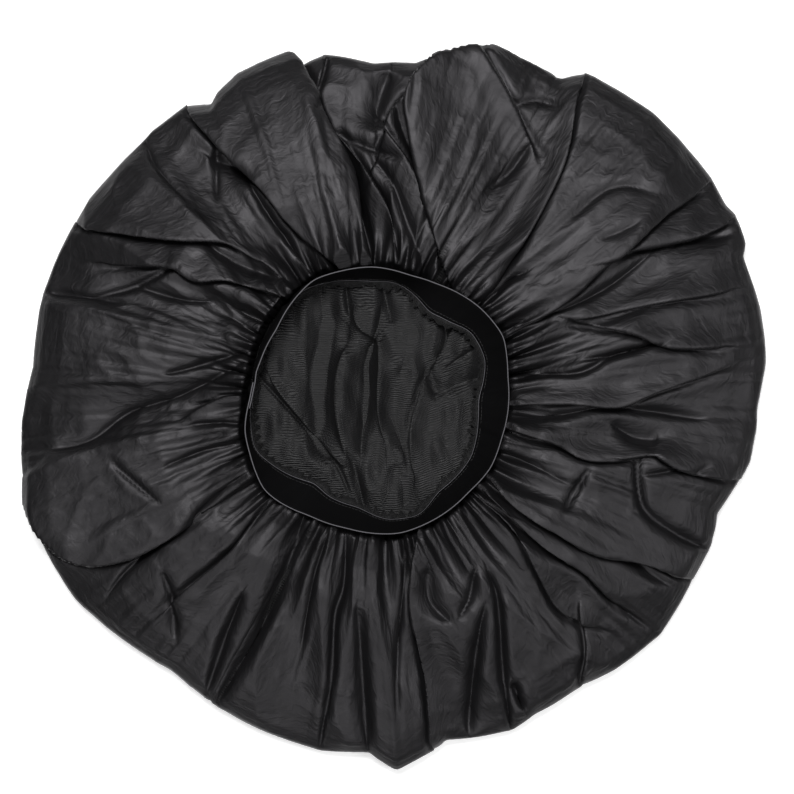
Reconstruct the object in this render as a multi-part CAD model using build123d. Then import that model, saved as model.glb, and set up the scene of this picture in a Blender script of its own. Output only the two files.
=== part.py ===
"""Soft spare tyre cover, lying on its face with the elastic hem upwards.

The cover is a round bag of thin cloth.  A flat face panel lies on the surface, two side panels roll
round the rim and are gathered in towards the mouth, and a knitted elastic hem stands up round the mouth.
A loose lining, cut as a face and a side, follows the inside.  The bag is collapsed, as it is when no
wheel is in it.

Frame: +Z up, origin on the resting surface under the middle of the cover's outline.  Units: millimetres.
The side panels are plain puffed shells here, without their gathers.
"""

from build123d import *
from math import atan2, cos, degrees, pi, radians, sin
import os

# ---- driving dimensions -------------------------------------------------------------------------
ACROSS_X = 711.0  # outline, side to side
ACROSS_Y = 690.0  # outline, front to back
PUFF_HEIGHT = 46.0  # top of the collapsed, puffed ring
CLOTH = 1.2  # wall that stands for one layer of shell cloth
HEM_WIDTH = 40.0  # width of the knitted elastic
HEM_THICKNESS = 1.6
HEM_TOP = 60.0  # height of the hem's free edge
MOUTH_X, MOUTH_Y = -16.5, 9.0  # middle of the mouth, off the middle of the outline
MOUTH_LOW_RADIUS = 111.0  # hem's inner face at its sewn edge
MOUTH_TOP_RADIUS = 119.0  # hem's inner face at its free edge

# Corners of the outline as (angle in degrees, distance from the middle), rounded by CORNER_ROUND.
CORNERS = [
    (5, 365.0),
    (45, 396.0),
    (85, 352.0),
    (125, 368.0),
    (165, 368.0),
    (205, 374.0),
    (245, 348.0),
    (285, 345.0),
    (325, 350.0),
]
CORNER_ROUND = 225.0
OUTLINE_PASSES = 6  # rounds of scaling that bring the rounded outline to its exact size

# ---- worked out from them -----------------------------------------------------------------------
TOP_ROUND = 0.60 * PUFF_HEIGHT  # rounding of the rim's upper edge
FLOOR_ROUND = 0.28 * PUFF_HEIGHT  # rounding of the rim's lower edge
LINING_ROUND = 0.75  # the lining's rounding, as a share of the shell's
FACE_INSET = FLOOR_ROUND + 3.0  # rim seam, in from the outline
ALLOWANCE = 11.0  # width of a seam allowance, pressed flat
OVERLOCK = 1.0  # height of an allowance with its overlock thread
THREAD = 0.7
RIM_STITCH_INSET = FACE_INSET + 0.35 * ALLOWANCE  # line of the rim seam's thread
GAP = 0.3  # clearance between layers that lie on each other
LINING = 0.8
LINING_INSET = FACE_INSET + ALLOWANCE + 2.0
LINING_DROP = CLOTH + OVERLOCK + THREAD + 2 * GAP  # lining below the shell's upper surface
LINING_LOW = LINING_DROP  # the lining's underside, on the seams of the face panel
MOUTH_SPREAD = MOUTH_TOP_RADIUS - MOUTH_LOW_RADIUS  # the hem leans out by this much
HEM_LOW = HEM_TOP - (HEM_WIDTH**2 - MOUTH_SPREAD**2) ** 0.5
HEM_SLOPE = MOUTH_SPREAD / (HEM_TOP - HEM_LOW)
HEM_LEAN = degrees(atan2(MOUTH_SPREAD, HEM_TOP - HEM_LOW))
SEAM_HEIGHT = 2.0  # height of the gathered edge above the hem's lower edge
SEAM_CLEARANCE = 1.0  # room between the elastic and the gathered edge outside it
SEAM_RADIUS = MOUTH_LOW_RADIUS + HEM_THICKNESS + SEAM_CLEARANCE
FUNNEL_SLOPE = 0.40  # rise of the shell from the hem per millimetre outwards
JOIN_ANGLE = 61.0  # direction of the two joins between the side panels
HEM_JOIN_ANGLE = 178.0  # where the elastic's ends overlap
HEM_LAP = 24.0  # length of that overlap
STITCH_PITCH = 9.0
STITCH_LENGTH = 6.0
STITCH_HEIGHT = 4.0  # line of stitches above the hem's sewn edge
STITCH_LIFT = 0.05  # a stitch's clearance from the elastic
ZIGZAG_ROWS = (-0.3 * HEM_LAP, 0.3 * HEM_LAP)  # places of the two zigzag rows on the lap
ZIGZAG_STEP = 4.0
ZIGZAG_LENGTH = 3.6
ZIGZAG_TILT = 55.0
ZIGZAG_FIRST = 2  # steps that are left free for the ring of stitches
LAP_CLEARANCE = 2.0  # degrees beside the lap where stitches still stand on its double layer
HEM_ALLOWANCE = 7.0  # width of the gathered edge that hangs below the hem
PLUG_LOW = 0.2 * PUFF_HEIGHT  # where the cut for the mouth starts

BIG = 2 * ACROSS_X


def rounded_outline():
    """The outline as a flat face at Z 0, its box exactly ACROSS_X by ACROSS_Y and centred."""
    corners = [(reach * cos(radians(a)), reach * sin(radians(a))) for a, reach in CORNERS]
    for _ in range(OUTLINE_PASSES):
        rough = make_face(Polyline(*corners, close=True))
        face = fillet(rough.vertices(), CORNER_ROUND)
        box = face.bounding_box()
        middle = box.center()
        grow_x, grow_y = ACROSS_X / box.size.X, ACROSS_Y / box.size.Y
        corners = [((x - middle.X) * grow_x, (y - middle.Y) * grow_y) for x, y in corners]
    return face


OUTLINE = rounded_outline()


def outline_face(inset=0.0):
    """The outline at Z 0, pulled in by inset."""
    return offset(OUTLINE, amount=-inset) if inset else OUTLINE


def funnel(drop=0.0):
    """The space above the gathers that run down to the mouth, moved down into the cloth by drop."""
    low = HEM_LOW + SEAM_HEIGHT - drop
    height = 2 * PUFF_HEIGHT
    cone = Cone(
        SEAM_RADIUS,
        SEAM_RADIUS + height / FUNNEL_SLOPE,
        height,
        align=(Align.CENTER, Align.CENTER, Align.MIN),
    )
    return Pos(MOUTH_X, MOUTH_Y, low) * cone


def puffed(inset, bottom, top, drop):
    """The filled, rounded body of the bag between two heights, with the funnel cut out of it."""
    body = extrude(Pos(0, 0, bottom) * outline_face(inset), top - bottom)
    shrink = LINING_ROUND if inset > FACE_INSET else 1.0
    upper = body.edges().group_by(Axis.Z)[-1]
    body = fillet(upper, (TOP_ROUND - min(inset, CLOTH)) * shrink)
    lower = body.edges().group_by(Axis.Z)[0]
    body = fillet(lower, (FLOOR_ROUND - min(inset, CLOTH)) * shrink)
    return body - funnel(drop)


def mouth_plug(radius):
    """A plug through the mouth, from the inside of the bag upwards."""
    plug = Cylinder(radius, BIG, align=(Align.CENTER, Align.CENTER, Align.MIN))
    return Pos(MOUTH_X, MOUTH_Y, PLUG_LOW) * plug


def slab_through_mouth(thickness):
    """An upright slab along the joins between the side panels."""
    return Pos(MOUTH_X, MOUTH_Y, 0) * Rot(0, 0, JOIN_ANGLE) * Box(BIG, thickness, BIG)


def mouth_ring(inner_low, inner_top, low, top, wall, arc=360.0):
    """A leaning ring round the mouth, between two heights, arc degrees long from the +X side."""
    section = Polyline(
        (inner_low, low), (inner_low + wall, low), (inner_top + wall, top), (inner_top, top), close=True
    )
    return revolve(Plane.XZ * make_face(section), Axis.Z, revolution_arc=arc)


def hem_radius(height):
    """Radius of the hem's inner face at a height."""
    return MOUTH_LOW_RADIUS + HEM_SLOPE * (height - HEM_LOW)


def at_mouth(shape, angle=0.0):
    """Moves a shape that was made round Z to the mouth, turned by angle."""
    return Pos(MOUTH_X, MOUTH_Y, 0) * Rot(0, 0, angle) * shape


def shell():
    """The whole cloth shell above the face panel, one layer thick."""
    outer = puffed(0.0, 0.0, PUFF_HEIGHT, 0.0)
    hollow = puffed(CLOTH, CLOTH, PUFF_HEIGHT - CLOTH, CLOTH)
    floor_cut = extrude(outline_face(FACE_INSET), CLOTH)
    return outer - hollow - floor_cut - mouth_plug(SEAM_RADIUS)


def side_panels():
    """The shell as its two panels, which meet at the joins."""
    whole = shell()
    half_space = Pos(0, BIG / 2, 0) * Box(BIG, BIG, BIG)
    left_side = Pos(MOUTH_X, MOUTH_Y, 0) * Rot(0, 0, JOIN_ANGLE) * half_space
    return whole & left_side, whole - left_side


def face_panel():
    """The round panel that the cover lies on."""
    return extrude(outline_face(FACE_INSET), CLOTH)


def lining():
    """The loose bag of lining inside the shell: its side, open at the mouth, and its face."""
    top = PUFF_HEIGHT - LINING_DROP
    outer = puffed(LINING_INSET, LINING_LOW, top, LINING_DROP)
    hollow = puffed(LINING_INSET + LINING, LINING_LOW + LINING, top - LINING, LINING_DROP + LINING)
    bag = outer - hollow - mouth_plug(SEAM_RADIUS)
    below = Pos(0, 0, LINING_LOW + LINING) * Box(BIG, BIG, BIG, align=(Align.CENTER, Align.CENTER, Align.MAX))
    return bag - below, bag & below


def rim_overlock():
    """The rim seam's allowance, overlocked and pressed flat on the inside of the face panel."""
    ring = outline_face(FACE_INSET) - outline_face(FACE_INSET + ALLOWANCE)
    return extrude(Pos(0, 0, CLOTH) * ring, OVERLOCK)


def rim_stitches():
    """The run of thread that holds the rim seam, on top of its allowance."""
    ring = outline_face(RIM_STITCH_INSET) - outline_face(RIM_STITCH_INSET + THREAD)
    return extrude(Pos(0, 0, CLOTH + OVERLOCK) * ring, THREAD)


def inner_skin(start, depth):
    """A skin of the given depth that lines the shell, starting that far below the shell's own wall."""
    low, top = CLOTH + start, PUFF_HEIGHT - CLOTH - start
    outer = puffed(CLOTH + start, low, top, CLOTH + start)
    hollow = puffed(CLOTH + start + depth, low + depth, top - depth, CLOTH + start + depth)
    over_seam = Pos(0, 0, low + depth + OVERLOCK + THREAD + GAP) * Box(
        BIG, BIG, BIG, align=(Align.CENTER, Align.CENTER, Align.MIN)
    )
    return (outer - hollow - mouth_plug(SEAM_RADIUS + ALLOWANCE)) & over_seam


def hem_elastic():
    """The knitted elastic: one strip closed into a ring, its end lapped inside."""
    ring = mouth_ring(MOUTH_LOW_RADIUS, MOUTH_TOP_RADIUS, HEM_LOW, HEM_TOP, HEM_THICKNESS)
    lap_arc = degrees(HEM_LAP / MOUTH_LOW_RADIUS)
    lap = mouth_ring(
        MOUTH_LOW_RADIUS - HEM_THICKNESS,
        MOUTH_TOP_RADIUS - HEM_THICKNESS,
        HEM_LOW,
        HEM_TOP,
        HEM_THICKNESS,
        lap_arc,
    )
    return at_mouth(ring + lap, HEM_JOIN_ANGLE - lap_arc / 2)


def stitch_on_hem(angle, height, length, tilt=0.0, lift=0.0):
    """One stitch on the hem's inner face, lift millimetres off it."""
    radius = hem_radius(height) - lift - THREAD / 2 - STITCH_LIFT
    bar = Rot(tilt, 0, 0) * Box(THREAD, length, THREAD)
    return at_mouth(Pos(radius, 0, height) * Rot(0, HEM_LEAN, 0) * bar, angle)


def hem_join_stitches():
    """Two zigzag rows that sew the elastic's lapped ends."""
    count = int(HEM_WIDTH / ZIGZAG_STEP)
    stitches = []
    for row in ZIGZAG_ROWS:
        for step in range(ZIGZAG_FIRST, count):
            height = HEM_LOW + step * (HEM_TOP - HEM_LOW) / count
            angle = HEM_JOIN_ANGLE + degrees(row / hem_radius(height))
            tilt = ZIGZAG_TILT if step % 2 else -ZIGZAG_TILT
            stitches.append(stitch_on_hem(angle, height, ZIGZAG_LENGTH, tilt, HEM_THICKNESS))
    return stitches


def hem_seam_stitches():
    """The ring of stitches that sews the gathered edge to the hem."""
    count = round(2 * pi * MOUTH_LOW_RADIUS / STITCH_PITCH)
    half_lap = degrees(HEM_LAP / MOUTH_LOW_RADIUS) / 2
    stitches = []
    for step in range(count):
        angle = step * 360 / count
        from_join = abs((angle - HEM_JOIN_ANGLE + 180) % 360 - 180)
        lift = HEM_THICKNESS if from_join < half_lap + LAP_CLEARANCE else 0.0
        stitches.append(stitch_on_hem(angle, HEM_LOW + STITCH_HEIGHT, STITCH_LENGTH, 0.0, lift))
    return stitches


def hem_overlock():
    """The gathered edge's allowance with its overlock thread, hanging inside below the hem."""
    top = HEM_LOW - GAP
    inner = MOUTH_LOW_RADIUS - OVERLOCK
    return at_mouth(mouth_ring(inner, inner, top - HEM_ALLOWANCE, top, 2 * OVERLOCK))


def save(shape, name):
    """Writes one node; a list becomes a group of separate solids."""
    if isinstance(shape, list):
        shape = Compound(children=shape)
    export_step(shape, f"parts/{name}.step")


def main():
    os.makedirs("parts", exist_ok=True)
    left, right = side_panels()
    lining_side, lining_face = lining()
    joins = inner_skin(0.0, OVERLOCK) & slab_through_mouth(2 * ALLOWANCE)
    join_thread = inner_skin(OVERLOCK, THREAD) & slab_through_mouth(THREAD)
    nodes = {
        "face_panel": face_panel(),
        "side_panel_left": left,
        "side_panel_right": right,
        "lining_face": lining_face,
        "lining_side": lining_side,
        "rim_seam_overlock": rim_overlock(),
        "rim_seam_stitches": rim_stitches(),
        "panel_join_overlock": joins,
        "panel_join_stitches": join_thread,
        "hem_elastic": hem_elastic(),
        "hem_join_stitches": hem_join_stitches(),
        "hem_seam_stitches": hem_seam_stitches(),
        "hem_seam_overlock": hem_overlock(),
    }
    for name, shape in nodes.items():
        save(shape, name)


main()
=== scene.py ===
"""Looks of the soft tyre cover: gathered satin shell, ribbed lining, knitted elastic hem, seams and thread.

Lengths are millimetres in the CAD frame until a mesh is made, which is in metres.  Angles are degrees,
counted from +X, round the middle of the outline or of the mouth.
"""

from math import pi

import bpy
import numpy as np
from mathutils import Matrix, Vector


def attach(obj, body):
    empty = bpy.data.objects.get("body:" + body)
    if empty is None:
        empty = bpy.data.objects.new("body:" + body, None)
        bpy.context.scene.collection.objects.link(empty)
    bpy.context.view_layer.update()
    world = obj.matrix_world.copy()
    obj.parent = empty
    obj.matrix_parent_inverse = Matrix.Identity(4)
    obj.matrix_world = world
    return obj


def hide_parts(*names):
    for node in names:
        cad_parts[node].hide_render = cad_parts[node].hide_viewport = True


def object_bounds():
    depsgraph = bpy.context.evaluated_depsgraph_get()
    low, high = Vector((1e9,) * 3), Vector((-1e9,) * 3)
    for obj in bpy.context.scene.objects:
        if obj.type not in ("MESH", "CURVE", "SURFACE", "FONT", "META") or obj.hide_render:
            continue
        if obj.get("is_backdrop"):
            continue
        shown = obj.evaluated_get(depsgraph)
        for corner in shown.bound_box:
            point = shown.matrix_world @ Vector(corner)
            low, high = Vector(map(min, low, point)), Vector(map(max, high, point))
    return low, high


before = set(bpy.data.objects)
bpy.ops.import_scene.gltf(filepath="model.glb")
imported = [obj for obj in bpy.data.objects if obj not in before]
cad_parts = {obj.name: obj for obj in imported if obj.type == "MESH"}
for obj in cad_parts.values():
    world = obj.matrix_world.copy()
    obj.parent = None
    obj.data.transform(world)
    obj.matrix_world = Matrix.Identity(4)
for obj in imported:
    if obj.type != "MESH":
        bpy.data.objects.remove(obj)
cad_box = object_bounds()

MM = 0.001
MOUTH = np.array([-16.5, 9.0])  # middle of the mouth

# ---- outline and mouth, as the cover lies -------------------------------------------------------
# Corners and turns of each, as (x, y).
OUTLINE = [
    (355, 45), (350, 95), (332, 146), (335, 158), (325, 187), (316, 196), (300, 224), (245, 284),
    (182, 321), (158, 315), (98, 344), (60, 343), (20, 331), (-20, 330), (-68, 338), (-90, 327),
    (-102, 341), (-150, 321), (-173, 293), (-198, 291), (-240, 256), (-305, 179), (-335, 112),
    (-345, 40), (-356, -50), (-350, -95), (-305, -180), (-212, -250), (-165, -286), (-70, -326),
    (-24, -327), (2, -344), (47, -320), (50, -316), (112, -306), (133, -291), (180, -263),
    (210, -249), (255, -215), (286, -160), (302, -130), (308, -100), (340, -50), (346, 2),
]
FREE_EDGE = [
    (106, 30), (105, 50), (102, 68), (80, 95), (40, 117), (15, 125), (-20, 133), (-50, 129),
    (-75, 121), (-80, 117), (-110, 75), (-126, 43), (-135, 10), (-140, -20), (-135, -42),
    (-122, -75), (-110, -85), (-80, -99), (-45, -111), (5, -116), (30, -107), (70, -77),
    (90, -55), (100, -28),
]
SEWN_EDGE = [
    (80, 10), (87, 47), (73, 74), (54, 82), (33, 92), (15, 113), (1, 121), (-26, 122), (-85, 115),
    (-124, 66), (-134, 30), (-138, -4), (-134, -39), (-113, -56), (-76, -70), (-62, -84),
    (-34, -94), (-8, -106), (24, -102), (41, -80), (73, -47), (80, -8),
]
# (angle round the mouth, height of the free edge)
FREE_HEIGHT = [(0, 56), (60, 57), (120, 61), (150, 58), (200, 57), (235, 60), (285, 56), (330, 54)]
ELASTIC_WIDTH = 40.0
ELASTIC_THICK = 1.5
LAP_ANGLE = 178.0  # where the elastic's ends overlap
LAP_HALF = 6.0  # half of that overlap
JOIN_ANGLES = (61.0, 241.0)  # joins of the two side panels


# ---- shapes -------------------------------------------------------------------------------------
def round_loop(points, angles, smooth):
    """A closed curve through (angle, value) points, read at angles; smooth is in degrees."""
    fine = np.arange(0, 360, 0.25)
    a, v = np.array(points, float).T
    line = np.interp(fine, a, v, period=360)
    half = int(4 * smooth / 0.25) + 1
    x = np.arange(-half, half + 1) * 0.25
    kernel = np.exp(-0.5 * (x / smooth) ** 2)
    line = np.convolve(np.concatenate([line[-half:], line, line[:half]]), kernel / kernel.sum(), "valid")
    return np.interp(np.mod(angles, 360), fine, line, period=360)


def loop_radius(points, angles, smooth):
    """Radius round the mouth of a closed curve through (x, y) points."""
    x, y = (np.array(points, float) - MOUTH).T
    return round_loop(np.stack([np.degrees(np.arctan2(y, x)) % 360, np.hypot(x, y)], 1), angles, smooth)


def outline_from_mouth(angles):
    """Radius of the outline round the mouth."""
    return loop_radius(OUTLINE, angles, 0.4)


def around_mouth(angles, radius, height):
    """Points at radius round the mouth; the arrays have the same shape."""
    a = np.radians(angles)
    return np.stack([MOUTH[0] + radius * np.cos(a), MOUTH[1] + radius * np.sin(a), height], -1)


def elastic_edges(angles):
    """(radius, height) of the elastic's sewn edge and of its free edge."""
    sewn = loop_radius(SEWN_EDGE, angles, 2.5)
    free = loop_radius(FREE_EDGE, angles, 2.0)
    top = round_loop(FREE_HEIGHT, angles, 12.0)
    low = top - np.sqrt(np.maximum(ELASTIC_WIDTH**2 - (free - sewn) ** 2, 20.0**2))
    return sewn, low, free, top


def even_rows(radius, height, shares):
    """A section through stations, for every column, resampled at shares of its length."""
    step = np.hypot(np.diff(radius, axis=0), np.diff(height, axis=0))
    run = np.concatenate([np.zeros((1, radius.shape[1])), np.cumsum(step, 0)])
    r, z = np.zeros((len(shares), radius.shape[1])), np.zeros((len(shares), radius.shape[1]))
    for c in range(radius.shape[1]):
        at = shares * run[-1, c]
        r[:, c] = np.interp(at, run[:, c], radius[:, c])
        z[:, c] = np.interp(at, run[:, c], height[:, c])
    return r, z, run[-1].mean()


def waves_round(rng, angle, run, low, high, number, wander):
    """Waves of low to high counts round, drifting sideways as run grows; of unit size."""
    total = np.zeros(np.broadcast(angle, run).shape)
    for n in rng.integers(low, high, number):
        phase, drift = rng.uniform(0, 2 * pi), rng.normal(0, wander)
        total += rng.uniform(0.4, 1.0) * np.cos(n * np.radians(angle) + phase + drift * run / 60)
    return total / total.std()


def curve_through(path, parts=5):
    """Points of a smooth curve through the points of a path."""
    p = np.array(path, float)
    p = np.concatenate([2 * p[:1] - p[1:2], p, 2 * p[-1:] - p[-2:-1]])
    t = np.arange(parts)[:, None] / parts
    runs = []
    for a, b, c, d in zip(p[:-3], p[1:-2], p[2:-1], p[3:]):
        runs.append(b + 0.5 * t * (c - a + t * (2 * a - 5 * b + 4 * c - d + t * (3 * (b - c) + d - a))))
    return np.concatenate(runs + [p[-2:-1]])


def longer(path, by):
    """A path whose first and last legs run on by a length."""
    p = np.array(path, float)
    ends = p[[0, -1]] - p[[1, -2]]
    p[[0, -1]] += by * ends / np.hypot(*ends.T)[:, None]
    return p


def along_path(xy, path):
    """Signed distance to the left of a path, its share of length there, and its normal."""
    leg = np.diff(path, axis=0)
    run = np.hypot(*leg.T)
    start = np.concatenate([[0], np.cumsum(run)])
    best = np.full(len(xy), 1e9)
    side, share, normal = np.zeros(len(xy)), np.zeros(len(xy)), np.zeros((len(xy), 2))
    for p, d, length, done in zip(path[:-1], leg, run, start):
        t = np.clip(((xy - p) @ d) / length**2, 0, 1)
        off = xy - p - t[:, None] * d
        far = np.hypot(*off.T)
        near = far < best
        best[near] = far[near]
        side[near] = np.sign(d[0] * off[near, 1] - d[1] * off[near, 0]) * far[near]
        share[near] = (done + t[near] * length) / start[-1]
        normal[near] = np.array([-d[1], d[0]]) / length
    return side, share, normal


def add_folds(points, laps, creases, held):
    """Raises laps and presses creases into rows of points; held fades them where the cloth is sewn."""
    flat = points[..., :2].reshape(-1, 2)
    lift, push = np.zeros(len(flat)), np.zeros((len(flat), 2))
    pressed = [(-deep, wide, wide, path) for deep, wide, path in creases]
    for tall, steep, broad, path in laps + pressed:
        path = curve_through(longer(path, LAP_RUN if tall > 0 and broad > steep else 0))
        low, high = path.min(0) - 2.5 * broad - 10, path.max(0) + 2.5 * broad + 10
        near = np.nonzero(((flat > low) & (flat < high)).all(1))[0]
        side, share, normal = along_path(flat[near], path)
        taper = np.clip(4 * share * (1 - share), 0.03, 1) ** 0.5
        shape = np.exp(-(np.abs(side / np.where(side > 0, broad, steep * taper)) ** 1.4)) * taper
        lift[near] += tall * shape
        if tall > 0:
            push[near] -= (LAP_LEAN * tall * shape)[:, None] * normal
            valley = np.exp(-(((side + 2.2 * steep) / (1.3 * steep)) ** 2))
            lift[near] -= LAP_VALLEY * tall * valley * taper
    shape = points.shape[:2]
    held = np.broadcast_to(held, shape)
    points = points.copy()
    points[..., 2] += lift.reshape(shape) * held
    points[..., :2] += push.reshape(*shape, 2) * held[..., None]
    return points


def grid_faces(rows, cols, closed):
    """Four-cornered faces between the rows and columns of a grid."""
    index = np.arange(rows * cols).reshape(rows, cols)
    left, right = (index, np.roll(index, -1, 1)) if closed else (index[:, :-1], index[:, 1:])
    return np.stack([left[:-1], right[:-1], right[1:], left[1:]], -1).reshape(-1, 4)


def make_object(name, points, faces):
    """A smooth mesh object, from points in millimetres."""
    mesh = bpy.data.meshes.new(name)
    mesh.from_pydata((np.asarray(points).reshape(-1, 3) * MM).tolist(), [], faces)
    mesh.shade_smooth()
    obj = bpy.data.objects.new(name, mesh)
    bpy.context.collection.objects.link(obj)
    return obj


def grid_object(name, points, closed=True):
    """A mesh from rows of points, each row a loop when closed."""
    return make_object(name, points, grid_faces(*points.shape[:2], closed).tolist())


def tube(line, radius, closed=True, sides=6):
    """Points and faces of a round thread along a line."""
    line = np.asarray(line, float)
    if closed:
        along = np.roll(line, -1, 0) - np.roll(line, 1, 0)
    else:
        along = np.gradient(line, axis=0)
    along /= np.linalg.norm(along, axis=1)[:, None]
    across = np.cross(along, [0, 0, 1.0])
    weak = np.linalg.norm(across, axis=1) < 0.2
    across[weak] = np.cross(along[weak], [1.0, 0, 0])
    across /= np.linalg.norm(across, axis=1)[:, None]
    up = np.cross(across, along)
    turn = np.arange(sides) * 2 * pi / sides
    ring = across[:, None] * np.cos(turn)[:, None] + up[:, None] * np.sin(turn)[:, None]
    points = line[:, None] + radius * ring
    count = len(line)
    index = np.arange(count * sides).reshape(count, sides)
    a, b = (index, np.roll(index, -1, 0)) if closed else (index[:-1], index[1:])
    faces = np.stack([a, np.roll(a, -1, 1), np.roll(b, -1, 1), b], -1).reshape(-1, 4).tolist()
    if not closed:
        faces += [index[0][::-1].tolist(), index[-1].tolist()]
    return points.reshape(-1, 3), faces


def join_meshes(parts):
    """One list of points and faces from several."""
    points, faces, done = [], [], 0
    for p, f in parts:
        points.append(p)
        faces += [[i + done for i in face] for face in f]
        done += len(p)
    return np.concatenate(points), faces


def dashes(line, pitch, length, radius, sides=6):
    """Separate stitches along a closed or open line: short straight threads laid along it."""
    line = np.asarray(line, float)
    step = np.linalg.norm(np.diff(line, axis=0), axis=1)
    run = np.concatenate([[0], np.cumsum(step)])
    parts = []
    for start in np.arange(0, run[-1] - length, pitch):
        at = start + np.linspace(0, length, 5)
        pts = np.stack([np.interp(at, run, line[:, k]) for k in range(3)], -1)
        parts.append(tube(pts, radius, closed=False, sides=sides))
    return join_meshes(parts)


# ---- materials ----------------------------------------------------------------------------------
class Nodes:
    """A material being built, with its Principled shader."""

    def __init__(self, name, roughness, specular=0.5, **constants):
        self.material = bpy.data.materials.new(name)
        self.material.use_nodes = True
        self.tree = self.material.node_tree
        self.shader = self.tree.nodes["Principled BSDF"]
        self.shader.inputs["Roughness"].default_value = roughness
        self.shader.inputs["Specular IOR Level"].default_value = specular
        for key, value in constants.items():
            self.shader.inputs[key.replace("_", " ")].default_value = value

    def add(self, kind, **inputs):
        node = self.tree.nodes.new(kind)
        for key, value in inputs.items():
            node.inputs[key.replace("_", " ")].default_value = value
        return node

    def link(self, out, into):
        self.tree.links.new(out, into)

    def noise(self, scale, detail=2.0, where=None, distortion=0.0):
        node = self.add("ShaderNodeTexNoise", Scale=scale, Detail=detail, Distortion=distortion)
        if where is not None:
            self.link(where, node.inputs["Vector"])
        return node.outputs["Fac"]

    def ramp(self, value, stops):
        node = self.tree.nodes.new("ShaderNodeValToRGB")
        ramp = node.color_ramp
        while len(ramp.elements) < len(stops):
            ramp.elements.new(0.5)
        for element, (place, colour) in zip(ramp.elements, stops):
            element.position = place
            element.color = (*colour, 1) if len(colour) == 3 else colour
        self.link(value, node.inputs["Fac"])
        return node.outputs["Color"]

    def math(self, operation, a, b=None, c=None):
        node = self.tree.nodes.new("ShaderNodeMath")
        node.operation = operation
        for socket, value in zip(node.inputs, (a, b, c)):
            if value is None:
                continue
            if isinstance(value, (int, float)):
                socket.default_value = value
            else:
                self.link(value, socket)
        return node.outputs[0]

    def attribute(self, name):
        node = self.tree.nodes.new("ShaderNodeAttribute")
        node.attribute_name = name
        return node.outputs["Vector"]

    def scaled(self, vector, by):
        node = self.tree.nodes.new("ShaderNodeVectorMath")
        node.operation = "MULTIPLY"
        self.link(vector, node.inputs[0])
        node.inputs[1].default_value = by
        return node.outputs["Vector"]

    def separate(self, vector):
        node = self.tree.nodes.new("ShaderNodeSeparateXYZ")
        self.link(vector, node.inputs[0])
        return node.outputs

    def bump(self, height, strength, distance, under=None):
        node = self.add("ShaderNodeBump", Strength=strength, Distance=distance)
        self.link(height, node.inputs["Height"])
        if under is not None:
            self.link(under, node.inputs["Normal"])
        return node.outputs["Normal"]

    def colour(self, out):
        self.link(out, self.shader.inputs["Base Color"])

    def normal(self, out):
        self.link(out, self.shader.inputs["Normal"])

    def rough(self, out):
        self.link(out, self.shader.inputs["Roughness"])


def grey(*values):
    """Grey colours as (place, colour) pairs of a ramp."""
    return [(place, (v, 0.97 * v, 1.08 * v)) for place, v in values]


def satin():
    """Black satin: dark yarn with a soft sheen, fine streaks along the warp, small creases and the weave."""
    m = Nodes("black_satin", 0.5, specular=0.48, Anisotropic=0.2, Specular_Tint=(0.98, 0.95, 1.0, 1))
    cloth = m.attribute("cloth")
    u, v, _ = m.separate(cloth)
    m.colour(m.ramp(m.noise(9.0, 4.0), grey((0.3, 0.0022), (0.7, 0.0045))))
    m.rough(m.ramp(m.noise(14.0, 3.0), [(0.3, (0.47,) * 3), (0.7, (0.57,) * 3)]))
    warp = m.math("SINE", m.math("MULTIPLY", u, 2 * pi / 0.0005))
    weft = m.math("SINE", m.math("MULTIPLY", v, 2 * pi / 0.0011))
    weave = m.math("ADD", m.math("MULTIPLY", warp, 0.3), m.math("MULTIPLY", weft, 0.7))
    streak = m.noise(300.0, 3.0, where=m.scaled(cloth, (1.0, 0.25, 1.0)))
    soft = m.bump(m.noise(38.0, 3.0, distortion=0.6), 0.30, 0.0022)
    soft = m.bump(streak, 0.12, 0.0005, soft)
    m.normal(m.bump(weave, 0.08, 0.0002, soft))
    return m.material


def ribbed():
    """Dull dark lining with fine ribs that follow the cloth; its colour is painted darker in the rib valleys,
    as shade between the ribs.
    """
    m = Nodes("ribbed_lining", 0.52, specular=0.45)
    u, v, _ = m.separate(m.attribute("cloth"))
    wobble = m.math("MULTIPLY", m.noise(22.0, 2.0), 0.004)
    rib = m.math("SINE", m.math("MULTIPLY", m.math("ADD", v, wobble), 2 * pi / 0.0023))
    cross = m.math("SINE", m.math("MULTIPLY", u, 2 * pi / 0.0011))
    knit = m.math("ADD", m.math("MULTIPLY", rib, 0.8), m.math("MULTIPLY", cross, 0.2))
    # Colour follows the rib height: painted shade in the valleys between the ribs.
    m.colour(m.ramp(m.math("MULTIPLY_ADD", knit, 0.5, 0.5), grey((0.0, 0.0015), (1.0, 0.011))))
    m.normal(m.bump(knit, 0.6, 0.0005))
    return m.material


def knitted(name, dark, light, rough=0.9, sheen=0.0):
    """Matt knitted elastic: rows along it and a fine fuzz."""
    m = Nodes(name, rough, specular=0.08, Sheen_Weight=sheen, Sheen_Roughness=0.6)
    u, v, _ = m.separate(m.attribute("cloth"))
    row = m.math("SINE", m.math("MULTIPLY", v, 2 * pi / 0.0014))
    loop = m.math("SINE", m.math("MULTIPLY", u, 2 * pi / 0.0018))
    knit = m.math("MULTIPLY", row, m.math("ADD", loop, 1.6))
    fuzz = m.noise(900.0, 3.0)
    m.colour(m.ramp(fuzz, grey((0.25, dark), (0.8, light))))
    soft = m.bump(fuzz, 0.4, 0.0006)
    m.normal(m.bump(knit, 0.5, 0.0004, soft))
    return m.material


def thread(name, dark, light):
    """Twisted polyester thread."""
    m = Nodes(name, 0.55, specular=0.5, Sheen_Weight=0.1)
    twist = m.noise(1500.0, 2.0)
    m.colour(m.ramp(twist, grey((0.3, dark), (0.7, light))))
    m.normal(m.bump(twist, 0.4, 0.0002))
    return m.material


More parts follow.
